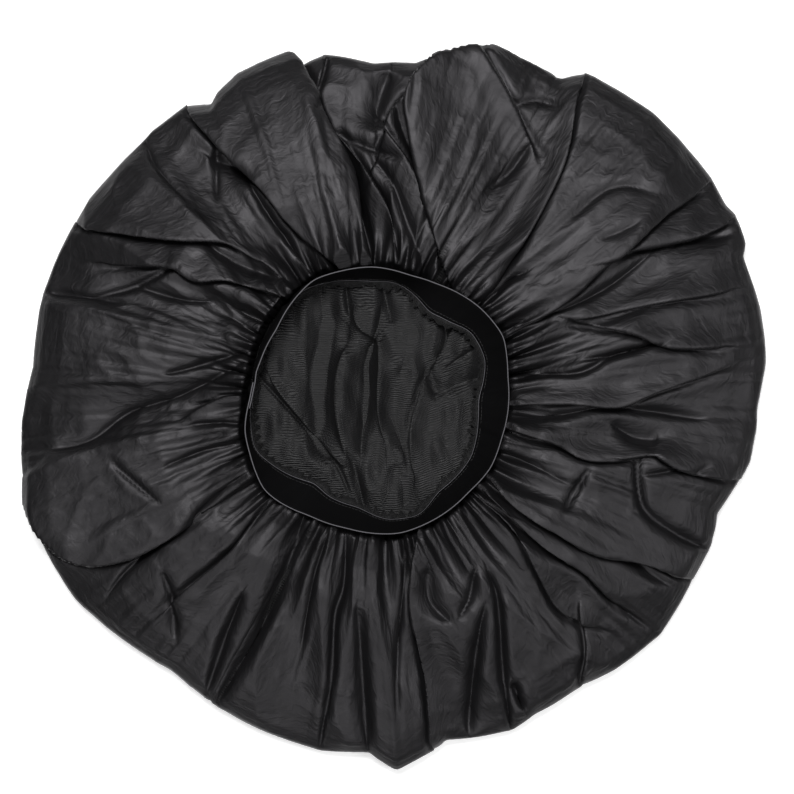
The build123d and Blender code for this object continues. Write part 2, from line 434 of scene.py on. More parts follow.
def paper():
    """The white floor."""
    m = Nodes("pale_floor", 0.9, specular=0.1, Emission_Color=(1, 1, 1, 1), Emission_Strength=0.5)
    m.colour(m.ramp(m.noise(3.0), [(0.3, (0.93,) * 3), (0.7, (0.94,) * 3)]))
    return m.material


def finish_piece(obj, material, slot, *nodes):
    """Gives a piece its material, hangs it from the root body and hides the CAD nodes it stands for; slot is
    not used.
    """
    obj.data.materials.append(material)
    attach(obj, "root")
    if nodes:
        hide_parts(*nodes)
    return obj


def mark_cloth(obj, values):
    """Stores each point's place on the flat cloth, in metres, for the weave."""
    data = obj.data.attributes.new("cloth", "FLOAT_VECTOR", "POINT")
    flat = np.zeros((len(obj.data.vertices), 3), np.float32)
    flat[:, : values.shape[-1]] = values.reshape(-1, values.shape[-1]) * MM
    data.data.foreach_set("vector", flat.ravel())


# ---- shell --------------------------------------------------------------------------------------
# Section from beside the hem outwards: (share of the way to the outline, height), then under the rim.
CREST = [(0.22, 44.0), (0.38, 46.0), (0.55, 43.0), (0.72, 38.5), (0.86, 33.0), (0.95, 27.0)]
RIM = [(0.990, 21.0), (1.000, 14.0), (0.990, 7.0), (0.970, 2.5), (0.945, 1.6)]
# Gathers and pleats: lowest and highest count round, number of waves, how far out they last, height,
# and how much they lie over to one side like knife pleats.
PLEATS = [
    (75, 120, 14, 34, 3.6, 0.0),
    (38, 66, 14, 50, 4.5, 0.5),
    (18, 32, 12, 95, 3.4, 0.8),
    (7, 15, 8, 420, 3.0, 0.7),
]
# Laps, where a panel hangs over the next: height, half width of the steep side, on the right of the path,
# and of the broad side, on its left, then the path.
LAPS = [
    (12, 3.5, 45, [(-25, 135), (-38, 175), (-50, 225), (-78, 280), (-100, 340)]),
    (12, 3.5, 40, [(-195, 290), (-150, 245), (-110, 205), (-85, 170), (-45, 130)]),
    (12, 3.5, 40, [(-305, 181), (-250, 174), (-200, 169), (-155, 164), (-138, 151)]),
    (9, 3, 12, [(-260, 140), (-210, 141), (-185, 128), (-150, 127), (-100, 109)]),
    (8, 3, 8, [(-3, 140), (-10, 180), (-28, 215), (-50, 250)]),
    (6, 3, 8, [(-78, 305), (-70, 338)]),
    (12, 3.5, 35, [(98, 343), (50, 322), (30, 300), (5, 275), (-5, 255)]),
    (12, 3, 30, [(45, 315), (28, 290), (28, 260), (35, 215), (45, 170), (54, 128)]),
    (8, 3, 8, [(35, 150), (25, 195), (10, 225), (-5, 255)]),
    (6, 3, 10, [(125, 250), (105, 290), (85, 325)]),
    (9, 3, 10, [(75, 100), (110, 155), (145, 220), (158, 255), (168, 300), (181, 321)]),
    (10, 3, 35, [(105, 78), (150, 103), (190, 140), (240, 185), (290, 214)]),
    (9, 3, 25, [(215, 152), (250, 162), (290, 172), (323, 187)]),
    (6, 3.5, 12, [(190, 93), (240, 105), (300, 112)]),
    (7, 3, 12, [(180, 84), (225, 77), (255, 65), (292, 62)]),
    (7, 3, 7, [(105, 9), (160, 12), (210, 9), (245, 22), (300, 38)]),
    (7, 3, 8, [(105, -12), (150, -24), (185, -41), (230, -42)]),
    (8, 3, 8, [(225, -38), (245, -36), (272, -50), (320, -62)]),
    (11, 3, 30, [(92, -55), (120, -80), (160, -107), (200, -128), (240, -138), (286, -159)]),
    (9, 3, 14, [(82, -65), (112, -88), (150, -125), (185, -150), (203, -172)]),
    (8, 3, 14, [(75, -76), (112, -103), (140, -150), (160, -186), (178, -196)]),
    (6, 3, 8, [(180, -196), (187, -228), (180, -262)]),
    (9, 3, 14, [(25, -125), (22, -175), (30, -220), (38, -265), (40, -325)]),
    (7, 3, 14, [(-108, -84), (-122, -103), (-150, -140), (-200, -179)]),
    (13, 3.5, 40, [(-353, -82), (-330, -112), (-298, -134), (-260, -132), (-225, -118), (-200, -105)]),
    (6, 3, 6, [(-128, 0), (-150, 6), (-178, -3)]),
]
# Creases: depth, half width, path.
CREASES = [
    (6, 3, [(-290, 104), (-245, 116), (-200, 138)]),
    (5, 3, [(-245, 116), (-200, 103), (-170, 101)]),
    (7, 4, [(-338, 112), (-300, 107), (-255, 100)]),
    (9, 5, [(-190, 165), (-155, 143), (-90, 118)]),
    (8, 4, [(-155, 98), (-120, 80)]),
    (8, 3, [(-75, 120), (-95, 148), (-118, 185), (-138, 215)]),
    (14, 9, [(-175, 240), (-150, 228), (-128, 215)]),
    (4, 3, [(-238, 255), (-225, 230), (-198, 203)]),
    (4, 3, [(-170, 268), (-168, 200)]),
    (14, 6, [(-58, 250), (-38, 215), (-28, 180), (-20, 145)]),
    (5, 3, [(-60, 263), (-20, 245), (5, 230)]),
    (12, 14, [(-5, 320), (-15, 290), (-18, 262)]),
    (13, 8, [(8, 285), (16, 250), (27, 205), (32, 165)]),
    (6, 4, [(28, 130), (14, 170), (0, 210), (-20, 240)]),
    (5, 4, [(125, 250), (110, 225), (85, 205)]),
    (5, 4, [(110, 285), (135, 292), (155, 285)]),
    (9, 4, [(82, 105), (105, 145), (130, 168)]),
    (7, 3, [(85, 93), (103, 120), (125, 132)]),
    (9, 8, [(225, 150), (270, 158), (322, 166)]),
    (6, 3, [(108, 72), (150, 90), (205, 118), (245, 148)]),
    (7, 3, [(180, 46), (225, 55), (258, 68)]),
    (3, 4, [(165, 180), (190, 203), (215, 213), (250, 207)]),
    (3, 3, [(190, 165), (225, 185)]),
    (7, 3, [(108, 22), (130, 32), (175, 35), (210, 52), (255, 62)]),
    (8, 4, [(105, -2), (150, -6), (200, 1), (240, -2), (290, -10)]),
    (9, 4, [(228, -42), (229, -65), (236, -92), (262, -112), (302, -134)]),
    (6, 3, [(236, -63), (270, -57), (300, -50)]),
    (8, 5, [(205, -15), (225, -25), (250, -27)]),
    (6, 3, [(183, -55), (162, -90)]),
    (4, 3, [(105, -38), (135, -52), (165, -68)]),
    (6, 3, [(170, -140), (205, -178), (237, -206)]),
    (7, 5, [(205, -131), (232, -148), (258, -167)]),
    (5, 3, [(88, -88), (120, -120), (130, -135)]),
    (13, 4, [(86, -150), (97, -180), (103, -245), (110, -306)]),
    (12, 4, [(112, -258), (122, -286)]),
    (13, 5, [(84, -185), (78, -225), (73, -270), (70, -308)]),
    (8, 4, [(76, -148), (70, -178), (60, -196)]),
    (9, 7, [(34, -150), (36, -180), (52, -200)]),
    (5, 3, [(12, -125), (8, -170), (3, -225), (2, -290)]),
    (10, 6, [(-35, -185), (-31, -240), (-26, -325)]),
    (8, 3, [(-46, -112), (-48, -165), (-56, -195), (-60, -255), (-72, -322)]),
    (5, 2.5, [(-63, -118), (-76, -160), (-88, -222)]),
    (13, 6, [(-84, -98), (-97, -138), (-125, -205), (-148, -245), (-170, -280)]),
    (9, 4, [(-142, -172), (-158, -210), (-178, -266)]),
    (6, 3, [(-140, -60), (-170, -80), (-200, -107), (-250, -150), (-272, -176)]),
    (9, 7, [(-262, -136), (-240, -134), (-218, -122)]),
    (7, 4, [(-220, -152), (-210, -180), (-208, -218)]),
    (8, 18, [(-320, -38), (-285, -28), (-250, -3), (-200, 14), (-130, 50)]),
    (5, 3, [(-320, -38), (-285, -28), (-250, -3), (-200, 14), (-130, 50)]),
    (7, 3, [(-215, 33), (-170, 45), (-130, 57)]),
    (6, 3, [(-125, -18), (-155, -13), (-192, -15)]),
    (6, 3, [(-132, -30), (-175, -38), (-215, -52)]),
    (5, 3, [(-266, -50), (-250, -63), (-222, -85)]),
]
LAP_RUN = 18.0  # how far a lap runs on past the ends of its path
LAP_LEAN = 1.0  # how far a lap hangs over its steep side, for each unit of its height
LAP_VALLEY = 0.6  # depth of the valley under it, likewise
TALLEST = 70.0  # the shell's highest point
# The lining's height under the shell, at shares of the way from hem to rim, and the room above it.
LINING_CREST = [(0.0, 12.0), (0.1, 16.0), (0.25, 21.0), (0.45, 22.0), (0.7, 18.0), (0.86, 10.0), (0.9, 0.0)]
LINING_ROOM = 1.5  # gap between the shell and the lining's side
# How much more cloth there is than the puffed shape needs, at shares of the way from hem to rim.
FULLNESS = [(0.0, 0.10), (0.12, 0.09), (0.3, 0.035), (0.8, 0.025), (0.95, 0.025), (1.0, 0.0)]
FULLNESS_OUT = 0.006
# Relaxing, coarse to fine: columns, rows, rounds, stiffness against folding across and along the folds.
LEVELS = [(360, 28, 60, 0.10, 0.10), (720, 55, 60, 0.08, 0.06), (1440, 109, 30, 0.06, 0.04)]
CUT_ROUND = 2250.0  # length of the shell's outer edge as cut
# The joins of the side panels: depth and half width of the groove, and the puckers beside it.
JOIN_DEPTH, JOIN_GROOVE, JOIN_PUCKER = 0.7, 1.4, 7.0
PUCKER_DEPTH, PUCKER_PITCH = 0.5, 8.5
# Creases that stay in the cloth: cells round, cells outwards, height.
CRUMPLES = [(26, 3, 1.8), (48, 7, 1.2), (90, 14, 0.45)]


def lattice(rng, turns, rows, angle, share):
    """Smooth noise from 0 to 1 on a lattice that closes round the mouth: turns cells round, rows out."""
    values = rng.random((rows + 2, turns))
    x, y = np.mod(angle, 360) / 360 * turns, np.clip(share, 0, 1) * rows
    i, j = np.floor(x).astype(int) % turns, np.floor(y).astype(int)
    fx, fy = x - np.floor(x), y - j
    fx, fy = fx * fx * (3 - 2 * fx), fy * fy * (3 - 2 * fy)
    near = values[j, i] * (1 - fx) + values[j, (i + 1) % turns] * fx
    far = values[j + 1, i] * (1 - fx) + values[j + 1, (i + 1) % turns] * fx
    return near * (1 - fy) + far * fy


def shell_section(cols, rows):
    """The puffed ring without folds, with each point's share and length of the way from hem to rim."""
    angle = np.arange(cols) * 360 / cols
    rim = outline_from_mouth(angle)
    sewn, low, free, top = elastic_edges(angle)
    reach = rim - sewn
    beside = np.maximum(free, sewn) + 7  # where the gathers come out from under the elastic
    stations = [
        (sewn + 1.5, low + 1.0),
        (sewn + 0.45 * (beside - sewn) + 2, low + 0.40 * (top - low)),
        (beside, np.minimum(top - 9, 47)),
    ]
    stations += [(sewn + reach * t, np.full(cols, z)) for t, z in CREST + RIM]
    shares = np.linspace(0, 1, rows) ** 1.05
    radius, height, long = even_rows(*(np.stack(s) for s in zip(*stations)), shares)
    share = np.broadcast_to(shares[:, None], radius.shape)
    turn = np.broadcast_to(angle, radius.shape)
    return around_mouth(turn, radius, height), turn, share, share * long


def shell_start(cols, rows):
    """The shell before it relaxes: a puffed ring with gathers, pleats and the placed folds."""
    rng = np.random.default_rng(7)
    points, turn, share, run = shell_section(cols, rows)
    held = np.clip(run / 10, 0, 1) * np.clip((0.96 - share) / 0.10, 0, 1)
    for low_n, high_n, number, lasts, tall, knife in PLEATS:
        waves = waves_round(rng, turn[:1], run, low_n, high_n, number, 1.6)
        over = waves - knife * (1.15 * np.abs(waves) - 0.9)
        points[..., 2] += tall * over * np.exp(-((run / lasts) ** 2)) * held
    return add_folds(points, LAPS, CREASES, held), share


def under_shell(share):
    """How low the shell may sink, at a share of the way from hem to rim: just over the lining."""
    return np.interp(share, *zip(*LINING_CREST)) + LINING_ROOM


def pull(points, free, one, other, rest, give, push_only=False):
    """Brings pairs of points nearer to their rest distance; free is 0 where a point is held."""
    a, b = points[one], points[other]
    wa, wb = free[one], free[other]
    way = b - a
    long = np.sqrt((way * way).sum(-1))
    off = long - rest
    if push_only:
        off = np.minimum(off, 0)
    move = (give * off / np.maximum(long * (wa + wb), 1e-6))[..., None] * way
    points[one] = a + wa[..., None] * move
    points[other] = b - wb[..., None] * move


def relax(points, start, share, rounds, across, along):
    """Cloth on a grid that closes round the mouth: lets it crease as its fullness asks."""
    rows, cols = points.shape[:2]
    ring = np.arange(cols)
    nxt = lambda grid: np.roll(grid, -1, 1)
    length = lambda a, b: np.linalg.norm(b - a, axis=-1)
    rng = np.random.default_rng(31)
    turn = ring[None] * 360 / cols + 0 * share
    full = np.interp(share, *zip(*FULLNESS)) * (0.2 + 1.6 * lattice(rng, 30, 4, turn, share))
    full_out = FULLNESS_OUT * 2 * lattice(rng, 24, 4, turn, share)
    wide = length(start, nxt(start)) * (1 + full)
    tall = length(start[:-1], start[1:]) * (1 + full_out[:-1])
    slants = []
    for one, other in ((start[:-1], nxt(start)[1:]), (nxt(start)[:-1], start[1:])):
        w, t = length(start, nxt(start))[:-1], length(start[:-1], start[1:])
        skew = np.clip((length(one, other) ** 2 - w**2 - t**2) / (w * t), -1.9, 1.9)
        slants.append(np.sqrt(wide[:-1] ** 2 + tall**2 + skew * wide[:-1] * tall))
    wide2 = length(start, np.roll(start, -2, 1)) * (1 + full)
    free = np.ones((rows, cols))
    free[0] = free[-2:] = 0
    points += 0.3 * (lattice(rng, cols // 2, rows // 2, turn, share) - 0.5)[..., None] * free[..., None]
    even, odd = ring[::2], ring[1::2]
    after = lambda c, n=1: (c + n) % cols
    r_all = slice(None)
    for step in range(rounds):
        for c in (even, odd):
            pull(points, free, (r_all, c), (r_all, after(c)), wide[:, c], 0.9)
        for r in (slice(0, rows - 1, 2), slice(1, rows - 1, 2)):
            below = slice(r.start + 1, rows, 2)
            pull(points, free, (r,), (below,), tall[r], 0.9)
            pull(points, free, (r, ring), (below, after(ring)), slants[0][r], 0.3)
            pull(points, free, (r, after(ring)), (below, ring), slants[1][r], 0.3)
        for shift in (0, 2):
            c = ring[(ring % 4 - shift) // 2 == 0]
            pull(points, free, (r_all, c), (r_all, after(c, 2)), wide2[:, c], across, True)
        moved = points - start
        smooth = 0.5 * (moved[:-2] + moved[2:]) - moved[1:-1]
        points[1:-1] += along * smooth * free[1:-1, :, None]
        points[..., 2] = np.maximum(points[..., 2], under_shell(share))
    return points


def relaxed_shell():
    """The shell creased as cloth, from a coarse grid to a fine one."""
    moved = None
    for cols, rows, rounds, across, along in LEVELS:
        start, share = shell_start(cols, rows)
        points = start.copy() if moved is None else start + finer(moved)
        points = relax(points, start, share, rounds, across, along)
        moved = points - start
    return points


def finer(points, closed=True):
    """Twice the rows and columns, on smooth curves through the points."""
    def between(p, axis, wrap):
        if wrap:
            a, b, c, d = (np.roll(p, s, axis) for s in (1, 0, -1, -2))
            mid = (9 * (b + c) - a - d) / 16
            out = np.stack([p, mid], axis + 1)
            shape = list(p.shape)
            shape[axis] *= 2
            return out.reshape(shape)
        n = p.shape[axis]
        take = lambda i: np.take(p, np.clip(i, 0, n - 1), axis)
        i = np.arange(n - 1)
        mid = (9 * (take(i) + take(i + 1)) - take(i - 1) - take(i + 2)) / 16
        pairs = np.stack([take(i), mid], axis + 1)
        pairs = pairs.reshape(*mid.shape[:axis], -1, *mid.shape[axis + 1:])
        return np.concatenate([pairs, take(np.array([n - 1]))], axis)
    return between(between(points, 1, closed), 0, False)


def crumple(points):
    """Adds the small sharp creases that satin keeps from being folded."""
    rng = np.random.default_rng(17)
    rows, cols = points.shape[:2]
    angle = np.broadcast_to(np.arange(cols) * 360 / cols, (rows, cols))
    share = np.broadcast_to(np.linspace(0, 1, rows)[:, None], (rows, cols))
    swirl = 9 * (lattice(rng, 18, 5, angle, share) - 0.5)
    slide = 0.10 * (lattice(rng, 24, 6, angle, share) - 0.5)
    normal = surface_normals(points)
    total = np.zeros((rows, cols))
    for turns, out, tall in CRUMPLES:
        ridge = 1 - np.abs(2 * lattice(rng, turns, out, angle + swirl, share + slide) - 1)
        mask = lattice(rng, max(turns // 5, 6), max(out // 3, 2), angle, share)
        total += tall * (ridge**2 - 0.4) * (0.35 + 1.3 * mask)
    total *= np.clip(share / 0.10, 0, 1) * np.clip((0.97 - share) / 0.06, 0, 1)
    return points + normal * total[..., None]


def surface_normals(points):
    """Outward normals of rows of points that close round."""
    round_it = np.roll(points, -1, 1) - np.roll(points, 1, 1)
    out = np.gradient(points, axis=0)
    normal = np.cross(out, round_it)
    return normal / np.maximum(np.linalg.norm(normal, axis=2), 1e-6)[..., None]


def clear_of_hem(points):
    """Keeps the gathers outside the elastic and lower than its free edge."""
    away = points[..., :2] - MOUTH
    angle = np.degrees(np.arctan2(away[..., 1], away[..., 0]))
    radius = np.hypot(away[..., 0], away[..., 1])
    sewn, low, free, top = elastic_edges(angle)
    share = np.clip((points[..., 2] - low) / (top - low), 0, 1)
    band = sewn + (free - sewn) * share + 3.0 * np.sin(pi * share) + 1.6
    beside = points[..., 2] > low - 3
    out = np.where(beside, np.maximum(radius, band), radius)
    height = np.minimum(points[..., 2], top - 3 + 0.6 * np.maximum(out - band, 0))
    return around_mouth(angle, out, height)


def seam_groove(points):
    """Draws the cloth in along the two joins of the side panels, with small puckers beside them."""
    rows, cols = points.shape[:2]
    angle = np.arange(cols) * 360 / cols
    away = np.hypot(points[..., 0] - MOUTH[0], points[..., 1] - MOUTH[1])
    run = np.cumsum(np.linalg.norm(np.diff(points, axis=0, prepend=points[:1]), axis=2), 0)
    depth = np.zeros((rows, cols))
    for join in JOIN_ANGLES:
        beside = np.radians((angle - join + 180) % 360 - 180) * away
        depth += JOIN_DEPTH * np.exp(-((beside / JOIN_GROOVE) ** 2))
        pucker = np.exp(-((beside / JOIN_PUCKER) ** 2)) * np.cos(2 * pi * run / PUCKER_PITCH)
        depth += PUCKER_DEPTH * pucker * np.abs(beside) / JOIN_PUCKER
    return points - surface_normals(points) * depth[..., None]


def build_shell():
    """The two side panels, from the relaxed shell."""
    points = relaxed_shell()
    points = seam_groove(clear_of_hem(crumple(points)))
    points[..., 2] = np.clip(points[..., 2], 1.5, TALLEST)
    rows, cols = points.shape[:2]
    run = np.cumsum(np.linalg.norm(np.diff(points, axis=0, prepend=points[:1]), axis=2), 0)
    around = np.broadcast_to(np.arange(cols) * CUT_ROUND / cols, (rows, cols))
    cloth = np.stack([around, run], -1)
    edge = [int(round(a / 360 * cols)) for a in JOIN_ANGLES]
    look = satin()
    for name, a, b in (("side_panel_left", edge[0], edge[1]), ("side_panel_right", edge[1], edge[0] + cols)):
        pick = np.arange(a, b + 1) % cols
        obj = grid_object(name + "_cloth", points[:, pick], closed=False)
        mark_cloth(obj, cloth[:, pick])
        finish_piece(obj, look, "shell_cloth", name)
    return points, look


# ---- elastic hem --------------------------------------------------------------------------------
def elastic_face(angles, share, inward, bulge=1.5):
    """Points on the elastic: share 0 at its sewn edge to 1 at its free edge, inward off its middle."""
    sewn, low, free, top = elastic_edges(angles)
    r = sewn + (free - sewn) * share
    z = low + (top - low) * share
    out_r, out_z = (top - low) / ELASTIC_WIDTH, -(free - sewn) / ELASTIC_WIDTH
    off = bulge * np.sin(pi * share) - inward
    return around_mouth(angles, r + off * out_r, z + off * out_z)


def lap_shift(angles):
    """How far the second end of the elastic lies inside the first."""
    return (ELASTIC_THICK + 0.25) * np.clip((angles - (LAP_ANGLE + 360 - LAP_HALF - 5)) / 5, 0, 1)


def overlock(edge, inner, turns, lift, thick=0.24):
    """Overlock thread: a coil that runs over a cloth edge and back to a line inside it."""
    count = turns * 10
    at = np.linspace(0, len(edge) - 1, count)
    read = lambda line: np.stack([np.interp(at, np.arange(len(line)), line[:, k]) for k in range(3)], -1)
    edge, inner = read(edge), read(inner)
    side = np.cross(np.gradient(edge, axis=0), inner - edge)
    side /= np.maximum(np.linalg.norm(side, axis=1), 1e-6)[:, None]
    phase = np.arange(count) / 10 * 2 * pi
    share = (0.5 - 0.5 * np.cos(phase))[:, None]
    return tube(edge + (inner - edge) * share + side * (lift * np.sin(phase))[:, None], thick, False, 5)


def build_hem(dark_thread):
    """Knitted elastic whose edges are painted lighter as a highlight, its lapped ends and its stitches."""
    angles = np.linspace(LAP_ANGLE - LAP_HALF, LAP_ANGLE + 360 + LAP_HALF, 760)
    half = ELASTIC_THICK / 2
    rng = np.random.default_rng(3)
    shares = np.linspace(0, 1, 15)
    profile = [(s, half) for s in shares] + [(s, -half) for s in shares[::-1]]
    rows = []
    cloth = []
    ripple = 0.5 * waves_round(rng, angles, np.zeros(1), 30, 60, 8, 0)
    for share, inward in profile:
        wavy = inward + lap_shift(angles) + ripple * np.sin(pi * share) ** 0.5
        rows.append(elastic_face(angles, share, wavy))
        cloth.append(np.stack([np.radians(angles) * 122, np.full(len(angles), share * ELASTIC_WIDTH)], -1))
    points, cloth = np.stack(rows), np.stack(cloth)
    count, cols = points.shape[:2]
    faces = grid_faces(count, cols, False).tolist()
    last = (count - 1) * cols
    faces += [[last + c, last + c + 1, c + 1, c] for c in range(cols - 1)]
    faces += [[r * cols for r in range(count)][::-1], [r * cols + cols - 1 for r in range(count)]]
    band = make_object("hem_elastic_knit", points, faces)
    mark_cloth(band, cloth)
    finish_piece(band, knitted("knitted_elastic", 0.0022, 0.0062), "elastic", "hem_elastic")
    edges = []
    # The elastic's two edges as round cords, coloured far lighter than the elastic: a painted highlight along
    # each edge.
    for share, off, thick in ((1.0, 0.3, 0.50), (0.0, 0.9, 0.34)):
        line = elastic_face(angles, share, off * half + lap_shift(angles))
        edges.append(tube(line, thick, closed=False, sides=8))
    edge = make_object("hem_elastic_edges", *join_meshes(edges))
    finish_piece(edge, thread("edge_painted_highlight", 0.07, 0.15), "elastic")
    seam_line = elastic_face(angles, 0.10, half + 0.15 + lap_shift(angles))
    seam = make_object("hem_seam_thread", *dashes(seam_line, 3.4, 2.6, 0.28))
    finish_piece(seam, dark_thread, "thread", "hem_seam_stitches")
    rows = []
    for centre in (LAP_ANGLE - 3.2, LAP_ANGLE + 3.2):
        share = np.linspace(0.12, 0.93, 27)
        a = centre + 360 + np.where(np.arange(27) % 2, 0.8, -0.8)
        line = np.stack([elastic_face(np.array([x]), y, half + 2.0)[0] for x, y in zip(a, share)])
        rows.append(tube(line, 0.28, closed=False))
    lap = make_object("hem_join_thread", *join_meshes(rows))
    finish_piece(lap, dark_thread, "thread", "hem_join_stitches")


def build_hem_allowance(dark_thread, edge_cloth):
    """The gathered edge of the shell inside the hem, wrapped in overlock thread."""
    rng = np.random.default_rng(11)
    angles = np.arange(0, 360.1, 0.25)
    sewn, low, free, top = elastic_edges(angles)
    zero = np.zeros(1)
    ruffle = 1.1 * waves_round(rng, angles, zero, 60, 110, 12, 0)
    ruffle = ruffle + 0.8 * waves_round(rng, angles, zero, 14, 30, 8, 0)
    depths = np.array([0.0, 2.0, 4.0, 6.0, 6.6])
    reach = [sewn - 1.3 - 0.75 * d + 0.2 * d * ruffle for d in depths]
    rows = [around_mouth(angles, r, low - 1.0 - 0.5 * d) for r, d in zip(reach, depths)]
    strip = grid_object("hem_allowance", np.stack(rows), closed=False)
    flat = np.stack(np.broadcast_arrays(np.radians(angles) * 330, depths[:, None]), -1)
    mark_cloth(strip, flat)
    thick = strip.modifiers.new("thickness", "SOLIDIFY")
    thick.thickness = 0.0009
    finish_piece(strip, edge_cloth, "thread")
    wrap = make_object("hem_overlock_thread", *overlock(rows[-1], rows[0], 900, 0.8, 0.26))
    finish_piece(wrap, dark_thread, "thread", "hem_seam_overlock")


def strip_with_thread(name, lines, turns, seam, dark_thread, edge_cloth, nodes):
    """A seam allowance on the inside of the bag: its strip, overlock thread and line of stitches."""
    strips, coils, stitches = [], [], []
    for line, seam_line in zip(lines, seam):
        rows, cols = line.shape[:2]
        strips.append((line.reshape(-1, 3), grid_faces(rows, cols, False).tolist()))
        coils.append(overlock(line[-1], line[1], turns, 0.7))
        stitches.append(dashes(seam_line, 3.4, 2.6, 0.25, sides=5))
    strip = make_object(name + "_allowance", *join_meshes(strips))
    thick = strip.modifiers.new("thickness", "SOLIDIFY")
    thick.thickness = 0.0006
    finish_piece(strip, edge_cloth, "thread", nodes[0])
    finish_piece(make_object(name + "_overlock_thread", *join_meshes(coils)), dark_thread, "thread")
    finish_piece(make_object(name + "_thread", *join_meshes(stitches)), dark_thread, "thread", nodes[1])


def build_inner_seams(shell, dark_thread, edge_cloth):
    """The rim seam and the two joins of the side panels, as they lie inside the bag."""
    angles = np.arange(0, 360.1, 0.5)
    seam = rim_seam_radius(angles)
    rng = np.random.default_rng(13)
    ruffle = 0.35 * waves_round(rng, angles, np.zeros(1), 40, 90, 8, 0)
    across = (0.5, 4.0, 8.0, 11.0)
    rows = [around_mouth(angles, seam - d, 2.6 + 0.04 * d + 0.1 * d * ruffle) for d in across]
    stitch = around_mouth(angles, seam - 2.0, 3.4 + 0 * angles)
    nodes = ("rim_seam_overlock", "rim_seam_stitches")
    strip_with_thread("rim_seam", [np.stack(rows)], 700, [stitch], dark_thread, edge_cloth, nodes)
    cols = shell.shape[1]
    lines, seams = [], []
    inside = shell - surface_normals(shell) * 1.6
    for join in JOIN_ANGLES:
        part = inside[10:-8]
        away = np.hypot(part[..., 0] - MOUTH[0], part[..., 1] - MOUTH[1]).mean(1)
        near = []
        for beside in (-0.3, 2.0, 5.5, 9.0):
            at = (join + np.degrees(beside / away)) / 360 * cols
            left = np.floor(at).astype(int)
            rest = (at - left)[:, None]
            pick = np.arange(len(part))
            near.append(part[pick, left % cols] * (1 - rest) + part[pick, (left + 1) % cols] * rest)
        lines.append(np.stack(near))
        seams.append(near[1] - [0, 0, 0.8])
    nodes = ("panel_join_overlock", "panel_join_stitches")
    strip_with_thread("panel_join", lines, 90, seams, dark_thread, edge_cloth, nodes)


# ---- lining and face panel ----------------------------------------------------------------------
# Folds of the lining where it shows in the mouth: depth, or height where it is less than 0, half width, path.
LINING_FOLDS = [
    (8, 6, [(-12, 100), (-16, 72), (-22, 55), (-26, 41), (-26, 14), (-28, -3), (-31, -45)]),
    (-6, 9, [(-38, 98), (-30, 82), (-10, 70), (-6, 45), (-8, 10), (-8, -30)]),
    (9, 14, [(-72, 125), (-68, 67), (-74, 32), (-71, -12), (-64, -50)]),
    (-6, 10, [(-44, 60), (-48, 25), (-46, -10), (-40, -50)]),
    (6, 2.2, [(-130, 30), (-93, -8), (-67, -38), (-53, -57), (-42, -85)]),
    (-5, 6, [(-118, 32), (-84, -4), (-58, -36), (-44, -56)]),
    (7, 2.6, [(46, 84), (50, 68), (47, 48), (42, 32), (40, 8)]),
    (-7, 4.5, [(56, 76), (53, 55), (38, 24), (32, 6), (24, -20), (20, -62)]),
    (8, 11, [(8, 40), (4, 16), (3, -12), (8, -40)]),
    (5, 4, [(-40, -40), (-37, -58), (-28, -100)]),
    (6, 12, [(2, -52), (8, -75), (10, -100)]),
    (5, 5, [(-12, 120), (-6, 97), (-2, 82)]),
    (4, 3, [(-47, 120), (-45, 104), (-43, 88)]),
    (-6, 7, [(100, 60), (72, 44), (48, 32)]),
    (6, 8, [(40, 14), (62, 23), (92, 34)]),
]
LINING_DEPTH = 1.5  # how much deeper the lining's folds are made than listed


def rim_seam_radius(angle):
    """Where the shell, the face panel and the lining are sewn together, from the mouth."""
    sewn = elastic_edges(angle)[0]
    return sewn + RIM[-1][0] * (outline_from_mouth(angle) - sewn)


def wrinkle(points, held, rng, sizes):
    """Adds broad soft waves in a few directions: height and count of each size."""
    x, y = points[..., 0], points[..., 1]
    for size, count in sizes:
        for _ in range(count):
            turn, wave = rng.uniform(0, 2 * pi), rng.uniform(24, 60) * size / 1.6
            stretch = rng.uniform(0.25, 0.6)
            way = x * np.cos(turn) + stretch * y * np.sin(turn)
            points[..., 2] += size / 2.2 * np.cos(way * 2 * pi / wave + rng.uniform(0, 2 * pi)) * held


